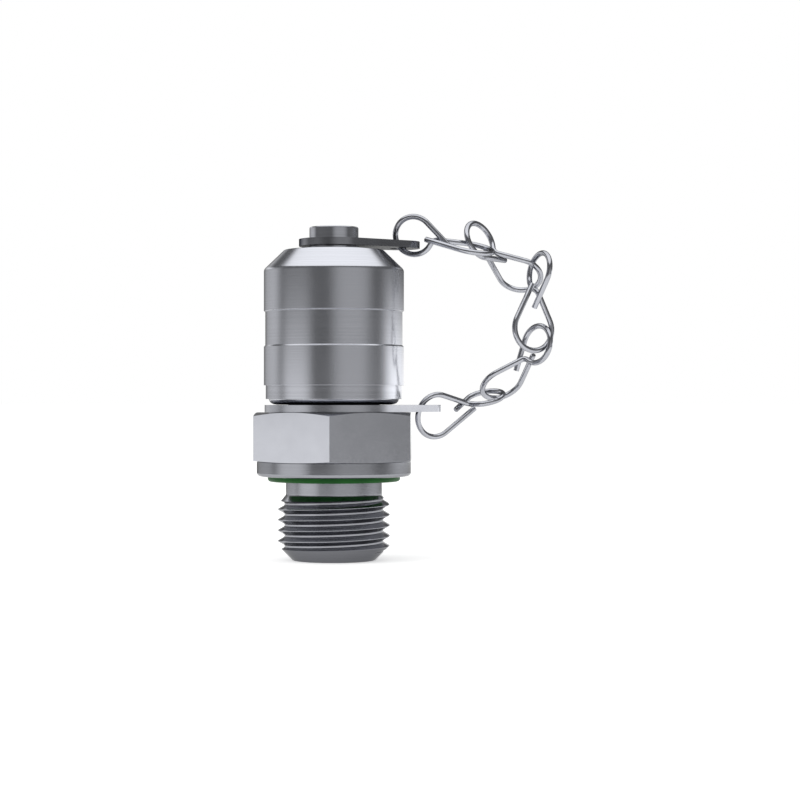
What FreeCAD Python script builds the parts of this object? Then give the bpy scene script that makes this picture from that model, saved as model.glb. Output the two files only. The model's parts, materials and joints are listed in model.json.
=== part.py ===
import FreeCAD, Part
import math
import os

# Test point coupling for a hydraulic line: a stud with a hexagon, a check valve inside, and a
# screwed protective cap that a wire chain ties to the body.
# All lengths are in millimetres. Z runs up the coupling's axis and the origin is the centre of the
# stud's end face. The photograph looks along +Y, with +X to the right.

# Screw-in stud, M16 x 1.5 with a soft sealing ring under the collar
stud_thread_r = 8.0
stud_end_r = 5.9
stud_length = 12.0
stud_thread_length = 9.35
stud_runout = 1.45
undercut_r = 6.85
port_bore_r = 4.5
collar_r = 11.0
collar_height = 2.1
collar_edge = 0.5
seal_r = 9.44
seal_proud = 0.75
seal_groove_depth = 0.85
seal_edge = 0.25
soft_fit = 0.05

# Hexagon
hex_sides = 6
hex_across_flats = 22.0
hex_height = 7.0
hex_top_chamfer = 0.5
hex_bottom_chamfer = 0.25
hex_core_r = 9.5

# Test connection above the hexagon, M16 x 2, as a plain cylinder at the thread's mean radius
connection_r = 7.31
connection_length = 15.3
connection_relief_r = 6.5
connection_relief = 1.2
connection_chamfer = 0.9
probe_bore_r = 3.5
probe_lead_in = 0.9
probe_groove_r = 5.0
probe_groove_width = 2.0
probe_groove_depth_down = 5.0
thread_play = 0.08

# Lower strap and the land that it turns on
strap_thickness = 1.0
strap_play = 0.05
strap_land_r = 8.1
running_fit = 0.08
strap_ring_inside_band = 0.1
lower_hole_past_hexagon = 0.9
upper_strap_eye_r = 5.0
upper_hole_past_band = 0.15
strap_tab_r = 3.1
strap_hole_r = 1.2
strap_edge = 0.12
strap_bearing = 26.0

# Protective cap
cap_lip_r = 8.2
cap_lip_root_r = 9.3
cap_lip_height = 0.8
cap_foot_r = 9.73
cap_foot_height = 1.95
cap_band_r = 10.0
cap_band_height = 5.7
cap_waist_r = 9.8
cap_waist_height = 4.7
cap_band_chamfer = 0.2
cap_top_band_height = 6.1
cap_cone_height = 2.8
cap_top_r = 7.1
cap_boss_r = 3.5
cap_boss_height = 0.5
cap_mouth_chamfer = 0.4
cap_ceiling_gap = 0.5
cap_thread_relief_depth = 0.5
cap_thread_relief = 2.0

# Ring that seals the cap on the end of the connection
cap_ring_centre_r = 5.25
cap_ring_wire_r = 0.8

# Rivet that holds the upper strap on the cap
rivet_shank_r = 2.0
rivet_head_r = 3.5
rivet_head_height = 1.7
rivet_head_edge = 0.3
rivet_tail_r = 2.9
rivet_tail_height = 1.0
rivet_end_play = 0.1

# Check valve inside the body
retaining_groove_r = 5.1
retaining_groove_at = 2.2
retaining_groove_width = 1.0
retaining_ring_width = 1.1
retaining_ring_gap = 40.0
retainer_thickness = 1.5
retainer_hole_r = 1.4
retainer_notch_r = 0.8
retainer_notches = 4
retainer_spigot_r = 2.1
retainer_spigot_height = 0.8
seat_shoulder_at = 25.0
seat_length = 6.0
seat_hole_r = 2.2
seat_chamfer = 0.3
seat_ring_wire_r = 0.7
seat_ring_squeeze = 0.03
probe_ring_wire_r = 0.85
poppet_head_r = 3.5
poppet_head_height = 2.6
poppet_pin_r = 1.2
poppet_pin_edge = 0.4
poppet_pin_above_seat = 2.4
poppet_cone_height = 1.4
poppet_spigot_r = 1.9
poppet_spigot_height = 1.6
poppet_seal_width = 0.9
poppet_seal_height = 0.7
poppet_seal_proud = 0.12
spring_mean_r = 2.6
spring_wire_r = 0.3
spring_turns = 6

# Chain: bent wire links, each with a large and a small open loop a quarter turn apart
wire_r = 0.4
link_gap = 0.25
big_loop_r = 3.15
big_loop_reach = 5.65
small_loop_r = 2.75
small_loop_reach = 2.95
waist_gap = 1.3
waist_bend_r = 0.9
big_loop_tail = 0.95
small_loop_tail = 2.95

# How each link lies, in degrees, from the lower strap to the upper one: its swing out of the
# chain's plane, its lean from level, its roll about its own length, where the last link's small
# loop holds it, and where its own large loop is held
link_poses = (
    {"swing": 2, "lean": 18, "roll": 11, "held_by": 0, "held_at": 39},
    {"swing": -66, "lean": 42, "roll": 77, "held_by": 29, "held_at": -13},
    {"swing": 28, "lean": 79, "roll": 155, "held_by": -26, "held_at": 66},
    {"swing": 8, "lean": 147, "roll": 117, "held_by": -51, "held_at": 94},
    {"swing": -37, "lean": 167, "roll": -102, "held_by": 43, "held_at": 114},
)
last_hold = -43

# Places that follow from the sizes above
hex_flat_r = hex_across_flats / 2
hex_corner_r = hex_flat_r / math.cos(math.pi / hex_sides)
lower_strap_ring_r = cap_band_r - strap_ring_inside_band
lower_strap_hole_at = hex_corner_r + lower_hole_past_hexagon
upper_strap_hole_at = cap_band_r + upper_hole_past_band
collar_bottom = stud_length
hex_bottom = collar_bottom + collar_height
hex_top = hex_bottom + hex_height
lower_strap_bottom = hex_top + strap_play
cap_bottom = lower_strap_bottom + strap_thickness + strap_play
land_top = cap_bottom - strap_play
connection_top = land_top + connection_length
cap_ceiling = connection_top + cap_ceiling_gap
cap_foot_bottom = cap_bottom + cap_lip_height
cap_band_bottom = cap_foot_bottom + cap_foot_height
cap_waist_bottom = cap_band_bottom + cap_band_height
cap_top_band_bottom = cap_waist_bottom + cap_waist_height
cap_cone_bottom = cap_top_band_bottom + cap_top_band_height
cap_top = cap_cone_bottom + cap_cone_height
boss_top = cap_top + cap_boss_height
upper_strap_bottom = boss_top + strap_play
rivet_head_bottom = upper_strap_bottom + strap_thickness + strap_play
retainer_bottom = retaining_groove_at + retaining_groove_width
retainer_top = retainer_bottom + retainer_thickness
seat_bottom = seat_shoulder_at - seat_length
poppet_head_top = seat_bottom - poppet_seal_proud - soft_fit
poppet_head_bottom = poppet_head_top - poppet_head_height
probe_groove_top = connection_top - probe_groove_depth_down

up = FreeCAD.Vector(0, 0, 1)
origin = FreeCAD.Vector(0, 0, 0)


def at_height(z):
    return FreeCAD.Vector(0, 0, z)


def turned(outline):
    """Solid of revolution about Z from (radius, height) corners."""
    corners = [FreeCAD.Vector(r, 0, z) for r, z in outline]
    face = Part.Face(Part.makePolygon(corners + corners[:1]))
    return face.revolve(origin, up, 360)


def disc(radius, bottom, height):
    return Part.makeCylinder(radius, height, at_height(bottom), up)


def rim(shape, radius, height):
    """Round edges of that radius at that height."""
    found = []
    for edge in shape.Edges:
        box = edge.BoundBox
        level = abs(box.ZMin - height) < 0.001 and abs(box.ZMax - height) < 0.001
        round_edge = isinstance(edge.Curve, Part.Circle) and abs(edge.Curve.Radius - radius) < 0.001
        if level and round_edge:
            found.append(edge)
    return found


def ring(centre_r, wire, height):
    return Part.makeTorus(centre_r, wire, at_height(height), up)


def hexagon():
    """Hexagon with a corner towards -Y and its corners turned off at both ends."""
    corners = []
    for number in range(hex_sides + 1):
        angle = 2 * math.pi * number / hex_sides - math.pi / 2
        corners.append(FreeCAD.Vector(hex_corner_r * math.cos(angle), hex_corner_r * math.sin(angle), hex_bottom))
    prism = Part.Face(Part.makePolygon(corners)).extrude(at_height(hex_height))
    outside_r = 2 * hex_corner_r - hex_flat_r
    blank = turned([
        (0, hex_bottom),
        (hex_flat_r, hex_bottom),
        (hex_corner_r, hex_bottom + hex_bottom_chamfer),
        (outside_r, hex_bottom + hex_bottom_chamfer),
        (outside_r, hex_top - hex_top_chamfer),
        (hex_corner_r, hex_top - hex_top_chamfer),
        (hex_flat_r, hex_top),
        (0, hex_top),
    ])
    return prism.common(blank)


def coupling_body():
    """Stud, collar, hexagon and test connection, turned in one piece with its stepped bore."""
    seal_groove_r = seal_r + soft_fit
    outline = [
        (port_bore_r, 0),
        (stud_end_r, 0),
        (stud_thread_r, stud_thread_r - stud_end_r),
        (stud_thread_r, stud_thread_length - stud_runout),
        (undercut_r, stud_thread_length),
        (undercut_r, collar_bottom + seal_groove_depth),
        (seal_groove_r, collar_bottom + seal_groove_depth),
        (seal_groove_r, collar_bottom),
        (collar_r, collar_bottom),
        (collar_r, hex_bottom),
        (hex_core_r, hex_bottom),
        (hex_core_r, hex_top),
        (strap_land_r, hex_top),
        (strap_land_r, land_top),
        (connection_relief_r, land_top),
        (connection_relief_r, land_top + connection_relief),
        (connection_r, land_top + connection_relief + connection_r - connection_relief_r),
        (connection_r, connection_top - connection_chamfer),
        (connection_r - connection_chamfer, connection_top),
        (probe_bore_r + probe_lead_in, connection_top),
        (probe_bore_r, connection_top - probe_lead_in),
        (probe_bore_r, probe_groove_top),
        (probe_groove_r, probe_groove_top),
        (probe_groove_r, probe_groove_top - probe_groove_width),
        (probe_bore_r, probe_groove_top - probe_groove_width),
        (probe_bore_r, seat_shoulder_at),
        (port_bore_r, seat_shoulder_at),
        (port_bore_r, retainer_bottom),
        (retaining_groove_r, retainer_bottom),
        (retaining_groove_r, retaining_groove_at),
        (port_bore_r, retaining_groove_at),
    ]
    body = turned(outline)
    body = body.makeFillet(collar_edge, rim(body, collar_r, collar_bottom))
    flats = hexagon().cut(disc(hex_core_r, hex_bottom, hex_height))
    return body.fuse(flats).removeSplitter()


def stud_seal_ring():
    """Profile seal that stands proud of the collar's groove."""
    outline = [
        (undercut_r + soft_fit, collar_bottom - seal_proud),
        (seal_r - seal_edge, collar_bottom - seal_proud),
        (seal_r, collar_bottom - seal_proud + seal_edge),
        (seal_r, collar_bottom + seal_groove_depth - soft_fit),
        (undercut_r + soft_fit, collar_bottom + seal_groove_depth - soft_fit),
    ]
    return turned(outline)


def valve_seat():
    """Bushing against the bore's shoulder, with a groove for its ring."""
    outer_r = port_bore_r - seat_ring_squeeze
    groove_r = port_bore_r - 2 * seat_ring_wire_r
    groove_middle = seat_bottom + seat_length / 2
    half = seat_ring_wire_r + soft_fit
    outline = [
        (seat_hole_r + seat_chamfer, seat_bottom),
        (outer_r, seat_bottom),
        (outer_r, groove_middle - half),
        (groove_r, groove_middle - half),
        (groove_r, groove_middle + half),
        (outer_r, groove_middle + half),
        (outer_r, seat_shoulder_at),
        (seat_hole_r, seat_shoulder_at),
        (seat_hole_r, seat_bottom + seat_chamfer),
    ]
    return turned(outline)


def seat_o_ring():
    section = seat_ring_wire_r - seat_ring_squeeze
    return ring(port_bore_r - seat_ring_wire_r, section, seat_bottom + seat_length / 2)


def probe_seal():
    """Ring in the mouth that closes on the test hose's probe."""
    centre_r = probe_groove_r - soft_fit - probe_ring_wire_r
    return ring(centre_r, probe_ring_wire_r, probe_groove_top - probe_groove_width / 2)


def valve_poppet():
    """Head with a pin that the probe pushes down, and a spigot inside the spring."""
    seal_inner_r = poppet_head_r - poppet_seal_width - soft_fit
    seal_floor = poppet_head_top - poppet_seal_height
    pin_top = seat_shoulder_at + poppet_pin_above_seat
    outline = [
        (0, poppet_head_bottom - poppet_spigot_height),
        (poppet_spigot_r, poppet_head_bottom - poppet_spigot_height),
        (poppet_spigot_r, poppet_head_bottom),
        (poppet_head_r, poppet_head_bottom),
        (poppet_head_r, seal_floor),
        (seal_inner_r, seal_floor),
        (seal_inner_r, poppet_head_top),
        (seat_hole_r - soft_fit, poppet_head_top),
        (poppet_pin_r, poppet_head_top + poppet_cone_height),
        (poppet_pin_r, pin_top),
        (0, pin_top),
    ]
    poppet = turned(outline)
    return poppet.makeFillet(poppet_pin_edge, rim(poppet, poppet_pin_r, pin_top))


def poppet_seal():
    """Soft flat ring round the poppet's head that meets the seat's face."""
    bottom = poppet_head_top - poppet_seal_height
    outer = disc(poppet_head_r, bottom, poppet_seal_height + poppet_seal_proud)
    inner = disc(poppet_head_r - poppet_seal_width, bottom, poppet_seal_height + poppet_seal_proud)
    return outer.cut(inner)


def valve_spring():
    """Coil spring between the retainer and the poppet's head."""
    bottom = retainer_top + spring_wire_r + soft_fit
    height = poppet_head_bottom - spring_wire_r - soft_fit - bottom
    path = Part.makeHelix(height / spring_turns, height, spring_mean_r)
    start = FreeCAD.Vector(spring_mean_r, 0, 0)
    section = Part.Wire(Part.makeCircle(spring_wire_r, start, FreeCAD.Vector(0, 1, 0)))
    spring = Part.Wire(path).makePipeShell([section], True, True)
    spring.translate(at_height(bottom))
    return spring


def spring_retainer():
    """Disc with a middle hole and edge notches for the oil, and a spigot inside the spring."""
    plate = disc(port_bore_r - running_fit, retainer_bottom, retainer_thickness)
    spigot = disc(retainer_spigot_r, retainer_top, retainer_spigot_height)
    retainer = plate.fuse(spigot)
    tall = retainer_thickness + retainer_spigot_height
    retainer = retainer.cut(disc(retainer_hole_r, retainer_bottom, tall))
    for number in range(retainer_notches):
        notch = disc(retainer_notch_r, retainer_bottom, retainer_thickness)
        notch.translate(FreeCAD.Vector(port_bore_r, 0, 0))
        notch.rotate(origin, up, 360 * number / retainer_notches)
        retainer = retainer.cut(notch)
    return retainer


def retaining_ring():
    """Open snap ring in the stud's bore."""
    outer_r = retaining_groove_r - soft_fit
    bottom = retaining_groove_at + soft_fit
    height = retaining_groove_width - 2 * soft_fit
    snap = disc(outer_r, bottom, height).cut(disc(outer_r - retaining_ring_width, bottom, height))
    opening = Part.makeCylinder(2 * outer_r, height, at_height(bottom), up, retaining_ring_gap)
    return snap.cut(opening)


def cap():
    """Turned cap with a rounded lip, a narrow foot, two raised bands, a cone and a boss."""
    bore_r = connection_r + thread_play
    relief_r = bore_r + cap_thread_relief_depth
    ring_groove_half = cap_ring_wire_r + soft_fit
    ring_groove_top = connection_top + 2 * ring_groove_half
    tail_pocket_r = rivet_tail_r + running_fit
    tail_pocket_top = cap_ceiling + rivet_tail_height + rivet_end_play
    shank_hole_r = rivet_shank_r + running_fit
    outline = [
        (bore_r + cap_mouth_chamfer, cap_bottom),
        (cap_lip_r, cap_bottom),
        (cap_lip_root_r, cap_foot_bottom),
        (cap_foot_r, cap_foot_bottom),
        (cap_foot_r, cap_band_bottom),
        (cap_band_r, cap_band_bottom),
        (cap_band_r, cap_waist_bottom - cap_band_chamfer),
        (cap_waist_r, cap_waist_bottom),
        (cap_waist_r, cap_top_band_bottom),
        (cap_band_r, cap_top_band_bottom + cap_band_chamfer),
        (cap_band_r, cap_cone_bottom),
        (cap_top_r, cap_top),
        (cap_boss_r, cap_top),
        (cap_boss_r, boss_top),
        (shank_hole_r, boss_top),
        (shank_hole_r, tail_pocket_top),
        (tail_pocket_r, tail_pocket_top),
        (tail_pocket_r, cap_ceiling),
        (cap_ring_centre_r - ring_groove_half, cap_ceiling),
        (cap_ring_centre_r - ring_groove_half, ring_groove_top),
        (cap_ring_centre_r + ring_groove_half, ring_groove_top),
        (cap_ring_centre_r + ring_groove_half, cap_ceiling),
        (relief_r, cap_ceiling),
        (relief_r, cap_ceiling - cap_thread_relief),
        (bore_r, cap_ceiling - cap_thread_relief),
        (bore_r, cap_bottom + cap_mouth_chamfer),
    ]
    corners = [FreeCAD.Vector(r, 0, z) for r, z in outline]
    edges = []
    for number, corner in enumerate(corners):
        after = corners[(number + 1) % len(corners)]
        if outline[number] == (cap_lip_r, cap_bottom):
            edges.append(lip_curve(corner, after))
        else:
            edges.append(Part.LineSegment(corner, after).toShape())
    return Part.Face(Part.Wire(edges)).revolve(origin, up, 360)


def lip_curve(inner, outer):
    """Arc that leaves the lip's face level and ends upright at the foot."""
    middle = (inner + outer) / 2
    chord = outer - inner
    bulge = FreeCAD.Vector(chord.z, 0, -chord.x) * ((math.sqrt(2) - 1) / 2)
    return Part.Arc(inner, middle + bulge, outer).toShape()


def cap_o_ring():
    """Ring in the cap's ceiling that meets the end of the connection."""
    return ring(cap_ring_centre_r, cap_ring_wire_r, connection_top + soft_fit + cap_ring_wire_r)


def cap_rivet():
    """Rivet whose head holds the upper strap, with its tail spread inside the cap."""
    tail_bottom = cap_ceiling
    outline = [
        (0, tail_bottom),
        (rivet_tail_r, tail_bottom),
        (rivet_tail_r, tail_bottom + rivet_tail_height),
        (rivet_shank_r, tail_bottom + rivet_tail_height),
        (rivet_shank_r, rivet_head_bottom),
        (rivet_head_r, rivet_head_bottom),
        (rivet_head_r, rivet_head_bottom + rivet_head_height),
        (0, rivet_head_bottom + rivet_head_height),
    ]
    rivet = turned(outline)
    return rivet.makeFillet(rivet_head_edge, rim(rivet, rivet_head_r, rivet_head_bottom + rivet_head_height))


def strap(eye_r, eye_hole_r, hole_at, bottom):
    """Flat plate: an eye on the axis that tapers to a round tab with the chain's hole."""
    lean = math.acos((eye_r - strap_tab_r) / hole_at)
    side = [
        FreeCAD.Vector(eye_r * math.cos(lean), eye_r * math.sin(lean), bottom),
        FreeCAD.Vector(hole_at + strap_tab_r * math.cos(lean), strap_tab_r * math.sin(lean), bottom),
    ]
    other = [FreeCAD.Vector(point.x, -point.y, point.z) for point in side]
    far = FreeCAD.Vector(hole_at + strap_tab_r, 0, bottom)
    back = FreeCAD.Vector(-eye_r, 0, bottom)
    edges = [
        Part.LineSegment(side[0], side[1]).toShape(),
        Part.Arc(side[1], far, other[1]).toShape(),
        Part.LineSegment(other[1], other[0]).toShape(),
        Part.Arc(other[0], back, side[0]).toShape(),
    ]
    plate = Part.Face(Part.Wire(edges)).extrude(at_height(strap_thickness))
    plate = plate.makeChamfer(strap_edge, [edge for edge in plate.Edges if is_level(edge)])
    eye = disc(eye_hole_r, bottom, strap_thickness)
    hole = disc(strap_hole_r, bottom, strap_thickness)
    hole.translate(FreeCAD.Vector(hole_at, 0, 0))
    plate = plate.cut(eye).cut(hole)
    plate.rotate(origin, up, strap_bearing)
    return plate


def is_level(edge):
    return abs(edge.BoundBox.ZMax - edge.BoundBox.ZMin) < 0.001


def upper_strap():
    eye_hole_r = rivet_shank_r + running_fit
    return strap(upper_strap_eye_r, eye_hole_r, upper_strap_hole_at, upper_strap_bottom)


def lower_strap():
    eye_hole_r = strap_land_r + running_fit
    return strap(lower_strap_ring_r, eye_hole_r, lower_strap_hole_at, lower_strap_bottom)


def open_loop(reach, radius):
    """Corners of an open loop from the waist at zero, out, round and back past the waist."""
    start_angle = math.asin(radius / reach)
    start_length = math.sqrt(reach ** 2 - radius ** 2)
    leave = (start_length * math.cos(start_angle), start_length * math.sin(start_angle))
    back_length = math.hypot(reach, waist_gap)
    back_angle = math.atan2(waist_gap, reach) - math.asin(radius / back_length)
    run = math.sqrt(back_length ** 2 - radius ** 2)
    meet = (run * math.cos(back_angle), run * math.sin(back_angle) - waist_gap)
    far = (reach + radius, 0)
    return leave, far, meet, back_angle


def link_path():
    """Centre line of one link: large loop in the XZ plane, small loop in the XY plane."""
    leave, far, meet, angle = open_loop(big_loop_reach, big_loop_r)
    big_leave = FreeCAD.Vector(-leave[0], 0, leave[1])
    big_far = FreeCAD.Vector(-far[0], 0, far[1])
    big_meet = FreeCAD.Vector(-meet[0], 0, meet[1])
    tail = (-big_loop_tail * math.cos(angle), -big_loop_tail * math.sin(angle) - waist_gap)
    big_end = FreeCAD.Vector(-tail[0], 0, tail[1])
    leave, far, meet, angle = open_loop(small_loop_reach, small_loop_r)
    small_leave = FreeCAD.Vector(leave[0], -leave[1], 0)
    small_far = FreeCAD.Vector(far[0], far[1], 0)
    small_meet = FreeCAD.Vector(meet[0], -meet[1], 0)
    tail = (-small_loop_tail * math.cos(angle), -small_loop_tail * math.sin(angle) - waist_gap)
    small_end = FreeCAD.Vector(tail[0], -tail[1], 0)
    toward_big = FreeCAD.Vector(big_leave).normalize()
    toward_small = FreeCAD.Vector(small_leave).normalize()
    half_turn = (math.pi - toward_big.getAngle(toward_small)) / 2
    trim = waist_bend_r * math.tan(half_turn)
    inward = (toward_big + toward_small).normalize()
    bend_middle = inward * (waist_bend_r / math.cos(half_turn) - waist_bend_r)
    edges = [
        Part.LineSegment(big_end, big_meet),
        Part.Arc(big_meet, big_far, big_leave),
        Part.LineSegment(big_leave, toward_big * trim),
        Part.Arc(toward_big * trim, bend_middle, toward_small * trim),
        Part.LineSegment(toward_small * trim, small_leave),
        Part.Arc(small_leave, small_far, small_meet),
        Part.LineSegment(small_meet, small_end),
    ]
    return Part.Wire([edge.toShape() for edge in edges])


def link_wire():
    path = link_path()
    first = path.OrderedEdges[0]
    start = first.valueAt(first.FirstParameter)
    section = Part.Wire(Part.makeCircle(wire_r, start, first.tangentAt(first.FirstParameter)))
    return path.makePipeShell([section], True, False)


def link_turn(pose):
    turn = FreeCAD.Rotation(up, pose["swing"])
    turn = turn.multiply(FreeCAD.Rotation(FreeCAD.Vector(0, -1, 0), pose["lean"]))
    return turn.multiply(FreeCAD.Rotation(FreeCAD.Vector(1, 0, 0), pose["roll"]))


def held_point(angle):
    """Point, outward way and wire direction on the large loop, from its far end."""
    cos, sin = math.cos(math.radians(angle)), math.sin(math.radians(angle))
    point = FreeCAD.Vector(-big_loop_reach - big_loop_r * cos, 0, big_loop_r * sin)
    return point, FreeCAD.Vector(-cos, 0, sin), FreeCAD.Vector(sin, 0, cos)


def holding_point(angle):
    """The same on the small loop."""
    cos, sin = math.cos(math.radians(angle)), math.sin(math.radians(angle))
    point = FreeCAD.Vector(small_loop_reach + small_loop_r * cos, small_loop_r * sin, 0)
    return point, FreeCAD.Vector(cos, sin, 0), FreeCAD.Vector(-sin, cos, 0)


def hooked(last, pose):
    """Place of a link whose large loop hangs in the last link's small loop."""
    point, out, along = holding_point(pose["held_by"])
    turn = link_turn(pose)
    own_point, own_out, own_along = held_point(pose["held_at"])
    own_out = turn.multVec(own_out)
    last_out = last.Rotation.multVec(out)
    across = last.Rotation.multVec(along).cross(turn.multVec(own_along)).normalize()
    if across.dot(own_out - last_out) < 0:
        across = across * -1
    spot = last.multVec(point) + across * (2 * wire_r + link_gap)
    return FreeCAD.Placement(spot - turn.multVec(own_point), turn)


def laid_chain(poses):
    """Places of all links from the lower strap's hole up, and how far the end misses the upper hole."""
    hole = FreeCAD.Vector(lower_strap_hole_at, 0, lower_strap_bottom + strap_thickness / 2)
    turn = link_turn(poses[0])
    own_point = held_point(poses[0]["held_at"])[0]
    places = [FreeCAD.Placement(hole - turn.multVec(own_point), turn)]
    for pose in poses[1:]:
        places.append(hooked(places[-1], pose))
    target = FreeCAD.Vector(upper_strap_hole_at, 0, upper_strap_bottom + strap_thickness / 2)
    return places, places[-1].multVec(holding_point(last_hold)[0]) - target


def settled_chain():
    """Places of all links, with three angles trimmed until the end meets the upper strap's hole."""
    poses = [dict(pose) for pose in link_poses]
    trimmed = ((poses[1], "lean"), (poses[3], "lean"), (poses[4], "swing"))
    close_enough = 0.001
    longest_trim = 10
    for attempt in range(20):
        places, miss = laid_chain(poses)
        if miss.Length < close_enough:
            break
        moves = []
        for pose, angle in trimmed:
            pose[angle] += 1
            moves.append(laid_chain(poses)[1] - miss)
            pose[angle] -= 1
        whole = moves[0].dot(moves[1].cross(moves[2]))
        trims = (
            -miss.dot(moves[1].cross(moves[2])) / whole,
            -moves[0].dot(miss.cross(moves[2])) / whole,
            -moves[0].dot(moves[1].cross(miss)) / whole,
        )
        for (pose, angle), trim in zip(trimmed, trims):
            pose[angle] += max(-longest_trim, min(longest_trim, trim))
    return places, miss


def main():
    os.makedirs("parts", exist_ok=True)
    pieces = {
        "coupling_body": coupling_body(),
        "stud_seal_ring": stud_seal_ring(),
        "valve_seat": valve_seat(),
        "seat_o_ring": seat_o_ring(),
        "probe_seal": probe_seal(),
        "valve_poppet": valve_poppet(),
        "poppet_seal": poppet_seal(),
        "valve_spring": valve_spring(),
        "spring_retainer": spring_retainer(),
        "retaining_ring": retaining_ring(),
        "cap": cap(),
        "cap_o_ring": cap_o_ring(),
        "cap_rivet": cap_rivet(),
        "upper_strap": upper_strap(),
        "lower_strap": lower_strap(),
    }
    wire = link_wire()
    bearing = FreeCAD.Placement(origin, FreeCAD.Rotation(up, strap_bearing))
    for number, place in enumerate(settled_chain()[0]):
        link = wire.copy()
        link.Placement = bearing.multiply(place)
        pieces["chain_link_" + str(number + 1)] = link
    for name, piece in pieces.items():
        if len(piece.Solids) != 1:
            raise ValueError(name)
        piece.Solids[0].exportStep("parts/" + name + ".step")


main()
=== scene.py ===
import json
import math

import bpy
from mathutils import Matrix, Vector


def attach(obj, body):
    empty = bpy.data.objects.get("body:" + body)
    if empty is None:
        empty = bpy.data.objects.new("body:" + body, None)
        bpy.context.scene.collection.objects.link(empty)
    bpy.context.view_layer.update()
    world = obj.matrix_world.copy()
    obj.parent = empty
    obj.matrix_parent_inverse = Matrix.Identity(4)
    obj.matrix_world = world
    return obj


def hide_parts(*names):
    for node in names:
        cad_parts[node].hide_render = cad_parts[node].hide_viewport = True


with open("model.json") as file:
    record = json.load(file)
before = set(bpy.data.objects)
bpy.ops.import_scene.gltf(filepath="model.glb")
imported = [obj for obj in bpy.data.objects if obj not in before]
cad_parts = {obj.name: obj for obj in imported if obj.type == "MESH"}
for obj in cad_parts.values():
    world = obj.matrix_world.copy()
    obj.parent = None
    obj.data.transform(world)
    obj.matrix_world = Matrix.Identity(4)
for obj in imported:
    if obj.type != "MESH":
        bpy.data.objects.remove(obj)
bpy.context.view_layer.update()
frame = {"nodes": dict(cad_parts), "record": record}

# Lengths are in metres. The part stands on its stud, and the camera looks along +Y.
mm = 0.001

# Steps round a turned piece, round a thread, along a rounded corner and across a broken edge
TURNING_STEPS = 128
THREAD_STEPS = 96
CORNER_STEPS = 5
EDGE_STEPS = 2

# Edges sharper than the first angle are broken, faces that meet at less than the second shade
# smoothly, and those within the third count as one flat face
EDGE_ABOVE = math.radians(30)
SMOOTH_BELOW = math.radians(32)
FLAT_WITHIN = math.radians(0.1)

# Faces of this area and more shade flat
FLAT_FACE = 6 * mm * mm

# Corners this close are merged, a level cut is this exact, and no edge stays shorter than this
MERGE_WITHIN = 0.002 * mm
CUT_WITHIN = 0.0002 * mm
SHORTEST_EDGE = 0.001 * mm

# A mesh is enlarged this much where an operator would take its small faces for nothing
WORKING_SCALE = 1000

# Hexagon, where its own finish begins and ends, and the levels below which the body's colour is
# darkened as painted shade
HEXAGON_BOTTOM = 14.1 * mm
HEXAGON_TOP = 21.1 * mm
HEXAGON_ACROSS_FLATS = 22 * mm
HEXAGON_FINISH_BOTTOM = 14.12 * mm
HEXAGON_FINISH_TOP = 21.08 * mm
HEXAGON_FINISH_R = 9.6 * mm
STUD_PAINTED_SHADE_BELOW = HEXAGON_BOTTOM
END_PAINTED_SHADE_BELOW = 1.9 * mm
PAINTED_SHADE_EDGE = 0.05 * mm

# Widths of the rounded edges
BODY_EDGE = 0.1 * mm
SEAL_EDGE = 0.12 * mm
CAP_EDGE = 0.02 * mm
RIVET_EDGE = 0.04 * mm
STRAP_EDGE = 0.05 * mm

# Stud thread, M16 x 1.5, and the thread of the test connection and the cap, M16 x 2
STUD_CREST_R = 8.0 * mm
STUD_ROOT_R = 7.08 * mm
STUD_PITCH = 1.5 * mm
STUD_CREST_AT = 6.49 * mm
CONNECTION_CREST_R = 7.95 * mm
CONNECTION_ROOT_R = 6.77 * mm
CONNECTION_PITCH = 2.0 * mm
CONNECTION_CREST_AT = 30 * mm
CAP_THREAD_CREST_R = 6.87 * mm
CAP_THREAD_ROOT_R = 8.05 * mm
CUTTER_OVERLAP = 0.1 * mm

# Shape of all three threads, in shares of the pitch
CREST_FLAT = 0.1
ROOT_FLAT = 0.2
THREAD_ROUNDING = 0.05

# Both straps
STRAP_THICKNESS = 1.0 * mm
STRAP_TAB_R = 3.1 * mm
STRAP_HOLE_R = 1.2 * mm
STRAP_BEARING = math.radians(26)

# Finishes: the range that most of a noise lies in, the depth of the steel's marks and the rubber's
# bloom, the share of the usual light that turned steel reflects where it is seen edge on, the turn
# that lays its gloss along the lathe's marks, and the rubber's gloss
NOISE_LOW = 0.3
NOISE_HIGH = 0.7
STEEL_MARKS_DEPTH = 0.002 * mm
RUBBER_BLOOM_DEPTH = 0.01 * mm
TURNED_EDGE_ON = 0.65
QUARTER_TURN = 0.25
RUBBER_GLOSS = 0.2

# Studio: floor, room, the point that the lamps aim at, and the light tent
FLOOR_SIZE = 20
FLOOR_SHADE = 0.9
FLOOR_ROUGHNESS = 0.9
FLOOR_GLOW = 0.5
ROOM_LIGHT = 0.6
ROOM_WHITE = 1.0
LAMPS_AIM = Vector((0.009, 0, 0.025))
TENT_R = 0.2
TENT_HEIGHT = 0.3
TENT_WALL_TOP = 0.2
TENT_ROOF_BOTTOM = 0.27
TENT_WALL_GLOW = 0.18
TENT_ROOF_GLOW = 1.6

# Soft lights on the tent's wall: turn from the camera's side towards +X and half width, both in
# degrees, height and half height in metres, and strength
TENT_LIGHTS = (
    (-124, 38, 0.03, 0.14, 0.66),
    (-62, 36, 0.008, 0.053, 1.1),
    (75, 15, 0.029, 0.015, 0.2),
    (32, 42, 0.03, 0.14, 0.41),
    (140, 62, 0.026, 0.028, 1.8),
    (128, 52, 0.02, 0.06, 0.25),
    (144, 26, 0.105, 0.045, 0.5),
    (-142, 26, 0.105, 0.045, 1.1),
)

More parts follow.
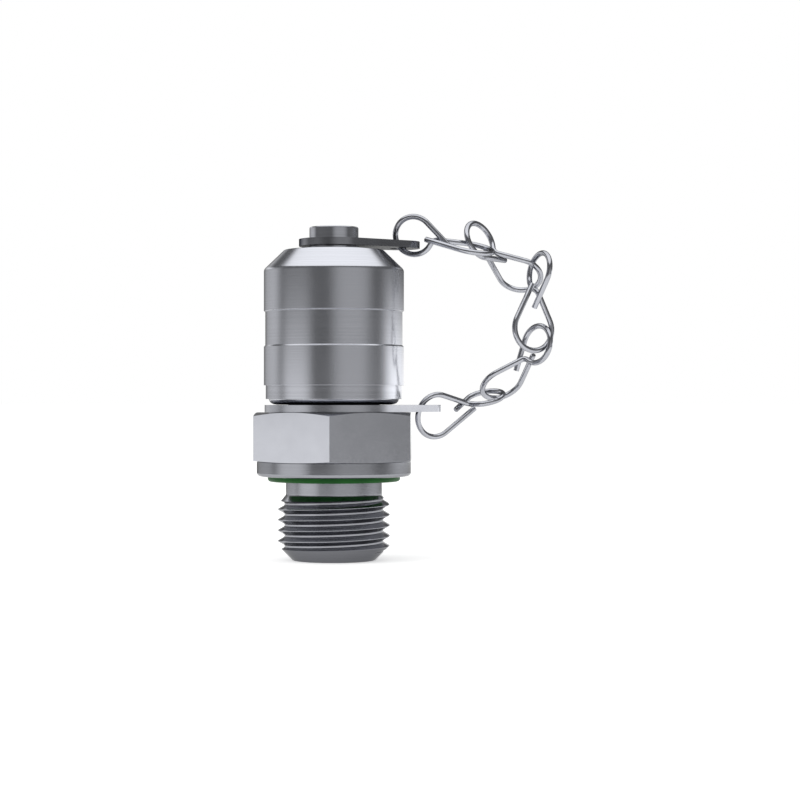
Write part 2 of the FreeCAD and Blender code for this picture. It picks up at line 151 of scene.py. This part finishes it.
# Camera
CAMERA_PLACE = (0.01455, -0.29279, 0.02286)
CAMERA_TURN = (math.radians(90), 0, math.radians(1))
CAMERA_LENS = 92.25
CAMERA_SENSOR = 36
CAMERA_NEAR = 0.01
CAMERA_FAR = 50


# Shaping helpers

def in_metres(corners):
    return [(radius * mm, height * mm) for radius, height in corners]


def rounded(before, corner, after, reach):
    """Points of a curve that rounds an outline's corner, from one reach before it to one after."""
    start = Vector(corner) + (Vector(before) - Vector(corner)).normalized() * reach
    end = Vector(corner) + (Vector(after) - Vector(corner)).normalized() * reach
    points = []
    for step in range(CORNER_STEPS + 1):
        share = step / CORNER_STEPS
        inner = start.lerp(Vector(corner), share)
        points.append(tuple(inner.lerp(Vector(corner).lerp(end, share), share)))
    return points


def select_only(piece):
    bpy.ops.object.select_all(action="DESELECT")
    piece.select_set(True)
    bpy.context.view_layer.objects.active = piece


def draw_outline(name, corners):
    """Edges through (radius, height) corners, drawn by pulling one corner along."""
    bpy.ops.object.select_all(action="DESELECT")
    bpy.ops.mesh.primitive_plane_add(size=mm)
    piece = bpy.context.object
    piece.name = name
    bpy.ops.object.mode_set(mode="EDIT")
    bpy.ops.mesh.select_all(action="SELECT")
    bpy.ops.mesh.merge(type="CENTER")
    bpy.ops.transform.translate(value=(corners[0][0], 0, corners[0][1]))
    for last, corner in zip(corners, corners[1:]):
        step = (corner[0] - last[0], 0, corner[1] - last[1])
        bpy.ops.mesh.extrude_region_move(TRANSFORM_OT_translate={"value": step})
    bpy.ops.object.mode_set(mode="OBJECT")
    return piece


def merge_and_face_outwards(piece):
    select_only(piece)
    bpy.ops.object.mode_set(mode="EDIT")
    bpy.ops.mesh.select_all(action="SELECT")
    bpy.ops.mesh.remove_doubles(threshold=MERGE_WITHIN)
    bpy.ops.mesh.normals_make_consistent(inside=False)
    bpy.ops.object.mode_set(mode="OBJECT")


def turn_on_lathe(name, corners):
    """Outline of (radius, height) corners spun about Z, and closed if no end is on the axis."""
    on_axis = 0 in (corners[0][0], corners[-1][0])
    piece = draw_outline(name, corners if on_axis else corners + corners[:1])
    bpy.ops.object.mode_set(mode="EDIT")
    bpy.ops.mesh.select_all(action="SELECT")
    bpy.ops.mesh.spin(
        steps=TURNING_STEPS, angle=2 * math.pi, center=(0, 0, 0), axis=(0, 0, 1),
    )
    bpy.ops.object.mode_set(mode="OBJECT")
    merge_and_face_outwards(piece)
    return piece


def apply_modifier(piece, kind, **settings):
    select_only(piece)
    modifier = piece.modifiers.new(kind.title(), kind)
    for setting, value in settings.items():
        setattr(modifier, setting, value)
    bpy.ops.object.modifier_apply(modifier=modifier.name)


def break_edges(piece, width):
    """Small rounding of all sharp edges."""
    apply_modifier(
        piece, "BEVEL", width=width, segments=EDGE_STEPS, limit_method="ANGLE",
        angle_limit=EDGE_ABOVE, use_clamp_overlap=True, harden_normals=False,
    )


def combine(piece, tool, operation):
    """Joins, cuts or keeps what is shared, and uses the tool piece up."""
    apply_modifier(piece, "BOOLEAN", object=tool, operation=operation, solver="MANIFOLD")
    bpy.data.objects.remove(tool)


def enlarge(piece):
    piece.data.transform(Matrix.Scale(WORKING_SCALE, 4))


def shrink_back(piece):
    piece.data.transform(Matrix.Scale(1 / WORKING_SCALE, 4))


def clear_slivers(piece):
    """Takes out the very short edges that joining leaves where two surfaces nearly meet."""
    enlarge(piece)
    select_only(piece)
    bpy.ops.object.mode_set(mode="EDIT")
    bpy.ops.mesh.select_all(action="SELECT")
    bpy.ops.mesh.dissolve_degenerate(threshold=SHORTEST_EDGE * WORKING_SCALE)
    bpy.ops.object.mode_set(mode="OBJECT")
    shrink_back(piece)


def join_flat_faces(piece):
    """Makes one face again of a flat one that joining cut up, so that it shades evenly."""
    enlarge(piece)
    select_only(piece)
    bpy.ops.object.mode_set(mode="EDIT")
    bpy.ops.mesh.select_all(action="SELECT")
    bpy.ops.mesh.dissolve_limited(angle_limit=FLAT_WITHIN)
    bpy.ops.object.mode_set(mode="OBJECT")
    shrink_back(piece)


def cut_level(piece, height, keep_above):
    """Cuts a closed piece at a height, keeps one side and closes it."""
    select_only(piece)
    bpy.ops.object.mode_set(mode="EDIT")
    bpy.ops.mesh.select_all(action="SELECT")
    bpy.ops.mesh.bisect(
        plane_co=(0, 0, height), plane_no=(0, 0, 1), use_fill=True, threshold=CUT_WITHIN,
        clear_inner=keep_above, clear_outer=not keep_above,
    )
    bpy.ops.object.mode_set(mode="OBJECT")


def thread_rod(name, root_r, crest_r, pitch, crest_at, bottom, top):
    """Right-hand screw thread as a closed rod between two heights, its crest on +X at crest_at."""
    start = crest_at - pitch / 2
    start -= math.ceil((start - bottom) / pitch + 1) * pitch
    turns = math.ceil((top - start) / pitch) + 1
    crest_half = CREST_FLAT * pitch / 2
    root_half = ROOT_FLAT * pitch / 2
    rounding = THREAD_ROUNDING * pitch
    steepness = (pitch / 2 - crest_half - root_half) / (crest_r - root_r)
    flank = [
        (root_r, root_half - rounding / 2),
        (root_r + rounding, root_half + rounding * steepness),
        (crest_r - rounding, pitch / 2 - crest_half - rounding * steepness),
        (crest_r, pitch / 2 - crest_half + rounding / 2),
    ]
    back_flank = [(radius, pitch - height) for radius, height in reversed(flank)]
    outline = [(root_r, 0), *flank, *back_flank, (root_r, pitch)]
    rod = draw_outline(name, [(radius, start + height) for radius, height in outline])
    apply_modifier(
        rod, "SCREW", axis="Z", angle=2 * math.pi, screw_offset=pitch, iterations=turns,
        steps=THREAD_STEPS, render_steps=THREAD_STEPS, use_smooth_shade=False,
    )
    merge_and_face_outwards(rod)
    cut_level(rod, bottom, True)
    cut_level(rod, top, False)
    merge_and_face_outwards(rod)
    return rod


def finish_piece(piece, body, nodes, material):
    """Smooth shading that keeps large faces even, the finish, and the place in the model.

    The shading is weighed while the piece is enlarged, or its faces would all weigh the same.
    """
    select_only(piece)
    bpy.ops.object.shade_smooth_by_angle(angle=SMOOTH_BELOW)
    for face in piece.data.polygons:
        face.use_smooth = face.area < FLAT_FACE
    enlarge(piece)
    apply_modifier(piece, "WEIGHTED_NORMAL", weight=100, keep_sharp=True)
    shrink_back(piece)
    piece.data.materials.clear()
    piece.data.materials.append(material)
    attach(piece, body)
    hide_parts(*nodes)


# Materials

def new_material(name):
    material = bpy.data.materials.new(name)
    material.use_nodes = True
    nodes = material.node_tree.nodes
    return material, nodes, material.node_tree.links, nodes["Principled BSDF"]


def math_node(nodes, links, operation, first, second=None):
    node = nodes.new("ShaderNodeMath")
    node.operation = operation
    for socket, value in zip(node.inputs, (first, second)):
        if isinstance(value, (int, float)):
            socket.default_value = value
        elif value is not None:
            links.new(value, socket)
    return node.outputs[0]


def noise(nodes, links, coordinates, scale, detail, roughness=0.5):
    node = nodes.new("ShaderNodeTexNoise")
    node.inputs["Scale"].default_value = scale
    node.inputs["Detail"].default_value = detail
    node.inputs["Roughness"].default_value = roughness
    links.new(coordinates, node.inputs["Vector"])
    return node.outputs["Fac"]


def between(nodes, links, factor, low, high, low_to, high_to, way="LINEAR"):
    """Carries a factor's range from low to high over to another range."""
    node = nodes.new("ShaderNodeMapRange")
    node.interpolation_type = way
    links.new(factor, node.inputs["Value"])
    ends = {"From Min": low, "From Max": high, "To Min": low_to, "To Max": high_to}
    for socket, value in ends.items():
        node.inputs[socket].default_value = value
    return node.outputs["Result"]


def shades(nodes, links, factor, dark, light):
    """Colours between a dark and a light one, by a noise."""
    node = nodes.new("ShaderNodeValToRGB")
    first, last = node.color_ramp.elements
    first.color = (*dark, 1)
    last.color = (*light, 1)
    first.position = NOISE_LOW
    last.position = NOISE_HIGH
    links.new(factor, node.inputs["Fac"])
    return node.outputs["Color"]


def vary_roughness(nodes, links, shader, pattern, roughness, less, more):
    """Roughness that a noise varies from somewhat less than the usual to somewhat more."""
    worn = between(
        nodes, links, pattern, NOISE_LOW, NOISE_HIGH, roughness - less, roughness + more,
    )
    links.new(worn, shader.inputs["Roughness"])


def bump(nodes, links, shader, height, depth, strength):
    node = nodes.new("ShaderNodeBump")
    node.inputs["Strength"].default_value = strength
    node.inputs["Distance"].default_value = depth
    links.new(height, node.inputs["Height"])
    links.new(node.outputs["Normal"], shader.inputs["Normal"])


def darker_edge_on(shader, share):
    """Lets a metal reflect only this share of the usual light where it is seen nearly edge on."""
    shader.inputs["Specular Tint"].default_value = (share, share, share, 1)


def turned_steel(name, dark, light, roughness, anisotropy, painted_shade=()):
    """Steel off the lathe: fine marks that run round the axis, and faint patches from handling.

    Each pair in the last argument is a height and the share of the colour that is left below it, as
    painted shade.
    """
    material, nodes, links, shader = new_material(name)
    place = nodes.new("ShaderNodeTexCoord").outputs["Object"]
    parts = nodes.new("ShaderNodeSeparateXYZ")
    links.new(place, parts.inputs[0])
    x_squared = math_node(nodes, links, "MULTIPLY", parts.outputs["X"], parts.outputs["X"])
    y_squared = math_node(nodes, links, "MULTIPLY", parts.outputs["Y"], parts.outputs["Y"])
    both = math_node(nodes, links, "ADD", x_squared, y_squared)
    radius = math_node(nodes, links, "SQRT", both)
    lathe = nodes.new("ShaderNodeCombineXYZ")
    links.new(radius, lathe.inputs["X"])
    links.new(parts.outputs["Z"], lathe.inputs["Y"])
    marks = noise(nodes, links, lathe.outputs[0], scale=9000, detail=3.0, roughness=0.6)
    patches = noise(nodes, links, place, scale=160, detail=3.0)
    colour = shades(nodes, links, marks, dark, light)
    # Painted shade: the colour is darkened below each given height
    for below, share in painted_shade:
        shaded_share = between(
            nodes, links, parts.outputs["Z"], below - PAINTED_SHADE_EDGE, below + PAINTED_SHADE_EDGE, share, 1,
        )
        scaled = nodes.new("ShaderNodeVectorMath")
        scaled.operation = "SCALE"
        links.new(colour, scaled.inputs[0])
        links.new(shaded_share, scaled.inputs["Scale"])
        colour = scaled.outputs[0]
    links.new(colour, shader.inputs["Base Color"])
    vary_roughness(nodes, links, shader, patches, roughness, less=0.015, more=0.025)
    shader.inputs["Metallic"].default_value = 1.0
    shader.inputs["Anisotropic"].default_value = anisotropy
    tangent = nodes.new("ShaderNodeTangent")
    tangent.direction_type = "RADIAL"
    tangent.axis = "Z"
    links.new(tangent.outputs[0], shader.inputs["Tangent"])
    shader.inputs["Anisotropic Rotation"].default_value = QUARTER_TURN
    darker_edge_on(shader, TURNED_EDGE_ON)
    bump(nodes, links, shader, marks, depth=STEEL_MARKS_DEPTH, strength=0.5)
    return material


def rolled_steel(name, dark, light, roughness, grain, edge_on=1.0):
    """Sheet and wire, with a fine even grain."""
    material, nodes, links, shader = new_material(name)
    place = nodes.new("ShaderNodeTexCoord").outputs["Object"]
    fine = noise(nodes, links, place, scale=grain, detail=3.0, roughness=0.6)
    patches = noise(nodes, links, place, scale=300, detail=2.0)
    links.new(shades(nodes, links, patches, dark, light), shader.inputs["Base Color"])
    vary_roughness(nodes, links, shader, fine, roughness, less=0.02, more=0.03)
    shader.inputs["Metallic"].default_value = 1.0
    darker_edge_on(shader, edge_on)
    bump(nodes, links, shader, fine, depth=STEEL_MARKS_DEPTH, strength=0.2)
    return material


def moulded_rubber(name, dark, light, roughness):
    """Seal rubber with the faint bloom of its mould."""
    material, nodes, links, shader = new_material(name)
    place = nodes.new("ShaderNodeTexCoord").outputs["Object"]
    fine = noise(nodes, links, place, scale=5000, detail=3.0, roughness=0.6)
    patches = noise(nodes, links, place, scale=400, detail=2.0)
    links.new(shades(nodes, links, patches, dark, light), shader.inputs["Base Color"])
    vary_roughness(nodes, links, shader, fine, roughness, less=0.05, more=0.05)
    shader.inputs["Specular IOR Level"].default_value = RUBBER_GLOSS
    bump(nodes, links, shader, fine, depth=RUBBER_BLOOM_DEPTH, strength=0.4)
    return material


def steel_grey(value):
    """Grey with the faint blue of stainless steel."""
    return (value * 0.98, value, value * 1.08)


# Body steel with painted shade that darkens the stud, and darkens the stud's end further
body_steel = turned_steel(
    "body_steel", steel_grey(0.44), steel_grey(0.52), roughness=0.15, anisotropy=0.3,
    painted_shade=((STUD_PAINTED_SHADE_BELOW, 0.63), (END_PAINTED_SHADE_BELOW, 0.62)),
)
hexagon_steel = rolled_steel(
    "hexagon_steel", steel_grey(0.455), steel_grey(0.485), roughness=0.12, grain=3000,
)
cap_steel = turned_steel(
    "cap_steel", steel_grey(0.46), steel_grey(0.54), roughness=0.19, anisotropy=0.0,
)
rivet_steel = turned_steel(
    "rivet_steel", steel_grey(0.46), steel_grey(0.54), roughness=0.12, anisotropy=0.0,
)
strap_steel = rolled_steel(
    "strap_steel", steel_grey(0.38), steel_grey(0.43), roughness=0.2, grain=4000,
)
# Copy of the strap steel, darker and reflecting little edge on, as painted shade for the upper
# strap
painted_shade_strap_steel = rolled_steel(
    "painted_shade_strap_steel", steel_grey(0.26), steel_grey(0.32), roughness=0.22, grain=4000, edge_on=0.1,
)
chain_steel = rolled_steel(
    "chain_steel", steel_grey(0.38), steel_grey(0.46), roughness=0.13, grain=6000, edge_on=0.4,
)
spring_steel = rolled_steel(
    "spring_steel", steel_grey(0.34), steel_grey(0.42), roughness=0.25, grain=6000,
)
green_rubber = moulded_rubber(
    "green_rubber", (0.006, 0.085, 0.01), (0.01, 0.115, 0.014), roughness=0.5,
)
black_rubber = moulded_rubber(
    "black_rubber", (0.012, 0.012, 0.012), (0.02, 0.02, 0.02), roughness=0.5,
)


# Each carried-over node gets the finish of its slot
node_materials = {
    "body_steel": body_steel,
    "cap_steel": cap_steel,
    "rivet_steel": rivet_steel,
    "strap_steel": strap_steel,
    "chain_wire": chain_steel,
    "spring_steel": spring_steel,
    "green_rubber": green_rubber,
    "black_rubber": black_rubber,
}
for part in frame["record"]["subparts"]:
    node = frame["nodes"][part["node"]]
    node.data.materials.clear()
    node.data.materials.append(node_materials[part["material_slot"]])


# Coupling body with its two screw threads

def make_body():
    """Stud core, undercut, collar, strap land and connection core, with the stepped bore."""
    body = turn_on_lathe("threaded_body", in_metres([
        (4.5, 0), (5.9, 0), (7.06, 1.16), (7.06, 9.085), (6.85, 9.35), (6.85, 12.85),
        (9.49, 12.85), (9.49, 12), (10.5, 12), (10.75, 12.07), (10.93, 12.25), (11, 12.5),
        (11, 14.1), (9.5, 14.1), (9.5, 21.1), (8.1, 21.1), (8.1, 22.15), (6.5, 22.15),
        (6.5, 23.35), (6.75, 23.6), (6.75, 37.11), (6.41, 37.45), (4.4, 37.45), (3.5, 36.55),
        (3.5, 32.45), (5, 32.45), (5, 30.45), (3.5, 30.45), (3.5, 25), (4.5, 25),
        (4.5, 3.2), (5.1, 3.2), (5.1, 2.2), (4.5, 2.2),
    ]))
    break_edges(body, BODY_EDGE)
    return body


def make_hexagon():
    """Six-sided bar with its corners turned off."""
    across_corners = HEXAGON_ACROSS_FLATS / math.cos(math.pi / 6)
    bpy.ops.object.select_all(action="DESELECT")
    bpy.ops.mesh.primitive_cylinder_add(
        vertices=6, radius=across_corners / 2, depth=HEXAGON_TOP - HEXAGON_BOTTOM,
        location=(0, 0, (HEXAGON_BOTTOM + HEXAGON_TOP) / 2),
    )
    bar = bpy.context.object
    bar.name = "hexagon"
    bpy.ops.object.transform_apply(location=True, rotation=True, scale=True)
    turning = turn_on_lathe("corner_turning", in_metres([
        (0, 14.1), (11, 14.1), (12.7, 14.35), (14.4, 14.35),
        (14.4, 20.6), (12.7, 20.6), (11, 21.1), (0, 21.1),
    ]))
    combine(bar, turning, "INTERSECT")
    bore = turn_on_lathe("bore", in_metres([(0, 13), (9.3, 13), (9.3, 22), (0, 22)]))
    combine(bar, bore, "DIFFERENCE")
    break_edges(bar, BODY_EDGE)
    return bar


def make_stud_thread():
    """Thread that tapers out at the stud's end and at the undercut."""
    stud = thread_rod(
        "stud_thread", STUD_ROOT_R, STUD_CREST_R, STUD_PITCH, STUD_CREST_AT,
        bottom=0.9 * mm, top=9.3 * mm,
    )
    blank = turn_on_lathe("stud_blank", in_metres([
        (5, 1.0), (6.9, 1.0), (8.02, 2.12), (8.02, 7.9), (6.87, 9.32), (5, 9.32),
    ]))
    combine(stud, blank, "INTERSECT")
    return stud


def make_connection_thread():
    """Thread under the cap, for the test hose."""
    thread = thread_rod(
        "connection_thread", CONNECTION_ROOT_R, CONNECTION_CREST_R, CONNECTION_PITCH,
        CONNECTION_CREST_AT, bottom=23.4 * mm, top=37.3 * mm,
    )
    blank = turn_on_lathe("connection_blank", in_metres([
        (6, 23.5), (6.6, 23.5), (7.97, 24.87), (7.97, 35.9), (6.6, 37.27), (6, 37.27),
    ]))
    combine(thread, blank, "INTERSECT")
    return thread


def is_hexagon_face(face):
    """The hexagon's six flats, the turned corners and their rounded edges."""
    middle = face.center
    outside_land = math.hypot(middle.x, middle.y) > HEXAGON_FINISH_R
    return outside_land and HEXAGON_FINISH_BOTTOM < middle.z < HEXAGON_FINISH_TOP


def paint_faces(piece, material, wanted):
    """Gives the chosen faces a second finish."""
    piece.data.materials.append(material)
    for face in piece.data.polygons:
        if wanted(face):
            face.material_index = 1


body = make_body()
combine(body, make_hexagon(), "UNION")
combine(body, make_stud_thread(), "UNION")
combine(body, make_connection_thread(), "UNION")
clear_slivers(body)
join_flat_faces(body)
finish_piece(body, "coupling", ["coupling_body"], body_steel)
paint_faces(body, hexagon_steel, is_hexagon_face)

seal = turn_on_lathe("profile_seal", in_metres([
    (6.9, 11.25), (9.2, 11.25), (9.44, 11.49), (9.44, 12.8), (6.9, 12.8),
]))
break_edges(seal, SEAL_EDGE)
finish_piece(seal, "coupling", ["stud_seal_ring"], green_rubber)


# Protective cap and its rivet

def make_cap():
    """Lip, foot, two raised bands, cone and boss outside, thread and ring groove inside."""
    band_top, cone_base, cone_top, flat_top = (10, 36), (10, 41.45), (7.1, 44.25), (3.5, 44.25)
    cap = turn_on_lathe("turned_cap", in_metres([
        (7.79, 22.2), (8.2, 22.2), (8.62, 22.26), (8.98, 22.44), (9.2, 22.7), (9.3, 23),
        (9.73, 23), (9.73, 24.95), (10, 24.95), (10, 30.45), (9.8, 30.65), (9.8, 35.42),
        (10, 35.55),
        *rounded(band_top, cone_base, cone_top, reach=0.3),
        *rounded(cone_base, cone_top, flat_top, reach=0.16),
        flat_top, (3.5, 44.79), (2.08, 44.79), (2.08, 39.05), (2.98, 39.05), (2.98, 37.95),
        (4.4, 37.95), (4.4, 39.15), (6.1, 39.15), (6.1, 37.95), (8.1, 37.95), (8.1, 35.95),
        (6.87, 35.95), (6.87, 23.12),
    ]))
    break_edges(cap, CAP_EDGE)
    thread = thread_rod(
        "cap_thread", CAP_THREAD_CREST_R - CUTTER_OVERLAP, CAP_THREAD_ROOT_R, CONNECTION_PITCH,
        CONNECTION_CREST_AT, bottom=22.3 * mm, top=36.6 * mm,
    )
    blank = turn_on_lathe("cap_thread_blank", in_metres([
        (0, 22.4), (7.3, 22.4), (8.07, 23.17), (8.07, 36.5), (0, 36.5),
    ]))
    combine(thread, blank, "INTERSECT")
    combine(cap, thread, "DIFFERENCE")
    clear_slivers(cap)
    return cap


finish_piece(make_cap(), "cap", ["cap"], cap_steel)

rivet = turn_on_lathe("cap_rivet_button", in_metres([
    (0, 37.95), (2.9, 37.95), (2.9, 38.95), (2, 38.95), (2, 45.85), (3.5, 45.85),
    *rounded((3.5, 46), (3.5, 47.55), (0, 47.55), reach=0.24), (0, 47.55),
]))
break_edges(rivet, RIVET_EDGE)
finish_piece(rivet, "rivet", ["cap_rivet"], rivet_steel)


# Chain links, bent from round wire

def smooth_copy(name, node):
    """Copy of a link from the construction, its corners merged so that the wire shades evenly."""
    link = bpy.data.objects.new(name, node.data.copy())
    bpy.context.scene.collection.objects.link(link)
    select_only(link)
    bpy.ops.object.mode_set(mode="EDIT")
    bpy.ops.mesh.select_all(action="SELECT")
    bpy.ops.mesh.remove_doubles(threshold=MERGE_WITHIN)
    bpy.ops.object.mode_set(mode="OBJECT")
    return link


for number in range(1, 6):
    node_name = "chain_link_%d" % number
    wire = smooth_copy("wire_link_%d" % number, frame["nodes"][node_name])
    finish_piece(wire, "link_%d" % number, [node_name], chain_steel)


# The two straps that tie the chain to the body and to the cap

def add_disc(radius, x, bottom):
    """Cylinder as thick as a strap, for its eye, its tab or a hole."""
    bpy.ops.mesh.primitive_cylinder_add(
        vertices=TURNING_STEPS, radius=radius, depth=STRAP_THICKNESS,
        location=(x, 0, bottom + STRAP_THICKNESS / 2),
    )


def cut_hole(strap, radius, x, bottom):
    """Hole through a strap, cut with a disc that stands out on both sides."""
    bpy.ops.object.select_all(action="DESELECT")
    add_disc(radius, x, bottom)
    drill = bpy.context.object
    drill.scale.z = 2
    bpy.ops.object.transform_apply(location=True, rotation=True, scale=True)
    combine(strap, drill, "DIFFERENCE")


def make_strap(name, eye_r, eye_hole_r, hole_at, bottom):
    """Plate that tapers from an eye on the axis to a round tab with the chain's hole."""
    bpy.ops.object.select_all(action="DESELECT")
    add_disc(eye_r, 0, bottom)
    strap = bpy.context.object
    strap.name = name
    bpy.ops.object.transform_apply(location=True, rotation=True, scale=True)
    bpy.ops.object.mode_set(mode="EDIT")
    add_disc(STRAP_TAB_R, hole_at, bottom)
    bpy.ops.mesh.select_all(action="SELECT")
    bpy.ops.mesh.convex_hull()
    bpy.ops.object.mode_set(mode="OBJECT")
    cut_hole(strap, eye_hole_r, 0, bottom)
    cut_hole(strap, STRAP_HOLE_R, hole_at, bottom)
    break_edges(strap, STRAP_EDGE)
    clear_slivers(strap)
    strap.rotation_euler = (0, 0, STRAP_BEARING)
    select_only(strap)
    bpy.ops.object.transform_apply(location=True, rotation=True, scale=True)
    return strap


lower_strap = make_strap(
    "body_strap", eye_r=9.9 * mm, eye_hole_r=8.18 * mm, hole_at=13.602 * mm, bottom=21.15 * mm,
)
finish_piece(lower_strap, "lower_strap", ["lower_strap"], strap_steel)
# The upper strap takes the painted-shade copy of the strap steel
upper_strap = make_strap(
    "cap_strap", eye_r=5 * mm, eye_hole_r=2.08 * mm, hole_at=10.15 * mm, bottom=44.8 * mm,
)
finish_piece(upper_strap, "upper_strap", ["upper_strap"], painted_shade_strap_steel)


# Floor, lamps, world and camera

def seen_directly(nodes, links):
    """1 for rays from the camera, from gloss and through glass, and 0 for other light."""
    rays = nodes.new("ShaderNodeLightPath").outputs
    seen = math_node(nodes, links, "MAXIMUM", rays["Is Camera Ray"], rays["Is Glossy Ray"])
    return math_node(nodes, links, "MAXIMUM", seen, rays["Is Transmission Ray"])


def make_floor():
    """Pale floor that is shown near white and keeps the part's shadow."""
    bpy.ops.object.select_all(action="DESELECT")
    bpy.ops.mesh.primitive_plane_add(size=FLOOR_SIZE, location=(0, 0, 0))
    floor = bpy.context.object
    floor.name = "floor"
    material, nodes, links, shader = new_material("pale_floor")
    shader.inputs["Base Color"].default_value = (FLOOR_SHADE, FLOOR_SHADE, FLOOR_SHADE, 1)
    shader.inputs["Roughness"].default_value = FLOOR_ROUGHNESS
    shader.inputs["Specular IOR Level"].default_value = 0.0
    shader.inputs["Emission Color"].default_value = (1, 1, 1, 1)
    glow = math_node(nodes, links, "MULTIPLY", seen_directly(nodes, links), FLOOR_GLOW)
    links.new(glow, shader.inputs["Emission Strength"])
    floor.data.materials.append(material)


def make_world():
    """White room, which lights the part less brightly than it is seen."""
    world = bpy.data.worlds.new("soft_room")
    bpy.context.scene.world = world
    world.use_nodes = True
    nodes, links = world.node_tree.nodes, world.node_tree.links
    background = nodes["Background"]
    background.inputs["Color"].default_value = (1, 1, 1, 1)
    level = between(nodes, links, seen_directly(nodes, links), 0, 1, ROOM_LIGHT, ROOM_WHITE)
    links.new(level, background.inputs["Strength"])


def add_softbox(name, turn, away, height, side, glow):
    """Square area lamp at a turn round the part, in degrees from the camera's side towards +X."""
    lamp = bpy.data.lights.new(name, "AREA")
    lamp.shape = "SQUARE"
    lamp.size = side
    lamp.energy = glow * math.pi * side * side
    box = bpy.data.objects.new(name, lamp)
    bpy.context.scene.collection.objects.link(box)
    angle = math.radians(turn)
    box.location = LAMPS_AIM + Vector((math.sin(angle) * away, -math.cos(angle) * away, height))
    box.rotation_euler = (box.location - LAMPS_AIM).to_track_quat("Z", "Y").to_euler()


def add_glow(nodes, links, place, so_far, turn, spread, height, half_height, strength):
    """Adds one soft light painted on the tent's wall, centred at a turn in degrees and a height."""
    x, y, z = place
    toward_x = math_node(nodes, links, "MULTIPLY", x, math.sin(math.radians(turn)) / TENT_R)
    toward_y = math_node(nodes, links, "MULTIPLY", y, -math.cos(math.radians(turn)) / TENT_R)
    facing = math_node(nodes, links, "ADD", toward_x, toward_y)
    edge = math.cos(math.radians(spread))
    across = between(nodes, links, facing, edge, 1, 0, strength, "SMOOTHSTEP")
    off = math_node(nodes, links, "ABSOLUTE", math_node(nodes, links, "SUBTRACT", z, height))
    upright = between(nodes, links, off, 0, half_height, 1, 0, "SMOOTHSTEP")
    glow = math_node(nodes, links, "MULTIPLY", across, upright)
    return math_node(nodes, links, "ADD", so_far, glow)


def make_tent():
    """Grey light tent round the part with soft lights in it, which only the metal's gloss shows."""
    tent = turn_on_lathe("light_tent", [(TENT_R, 0), (TENT_R, TENT_HEIGHT), (0, TENT_HEIGHT)])
    material, nodes, links, shader = new_material("tent_cloth")
    parts = nodes.new("ShaderNodeSeparateXYZ")
    links.new(nodes.new("ShaderNodeTexCoord").outputs["Object"], parts.inputs[0])
    place = [parts.outputs[axis] for axis in ("X", "Y", "Z")]
    glow = between(
        nodes, links, place[2], TENT_WALL_TOP, TENT_ROOF_BOTTOM, TENT_WALL_GLOW, TENT_ROOF_GLOW,
        "SMOOTHSTEP",
    )
    for light in TENT_LIGHTS:
        glow = add_glow(nodes, links, place, glow, *light)
    shader.inputs["Base Color"].default_value = (0, 0, 0, 1)
    shader.inputs["Specular IOR Level"].default_value = 0.0
    shader.inputs["Emission Color"].default_value = (1, 1, 1, 1)
    links.new(glow, shader.inputs["Emission Strength"])
    tent.data.materials.append(material)
    tent.visible_camera = False
    tent.visible_diffuse = False
    tent.visible_shadow = False


def make_camera():
    camera = bpy.data.cameras.new("camera")
    camera.sensor_width = CAMERA_SENSOR
    camera.lens = CAMERA_LENS
    camera.clip_start = CAMERA_NEAR
    camera.clip_end = CAMERA_FAR
    stand = bpy.data.objects.new("camera", camera)
    bpy.context.scene.collection.objects.link(stand)
    stand.location = CAMERA_PLACE
    stand.rotation_euler = CAMERA_TURN
    bpy.context.scene.camera = stand


make_floor()
make_world()
make_tent()
add_softbox("left_softbox", turn=-60, away=0.55, height=0.42, side=0.5, glow=1.2)
add_softbox("top_softbox", turn=0, away=0.05, height=0.8, side=0.5, glow=1.6)
make_camera()

bpy.context.scene.view_settings.view_transform = "Standard"
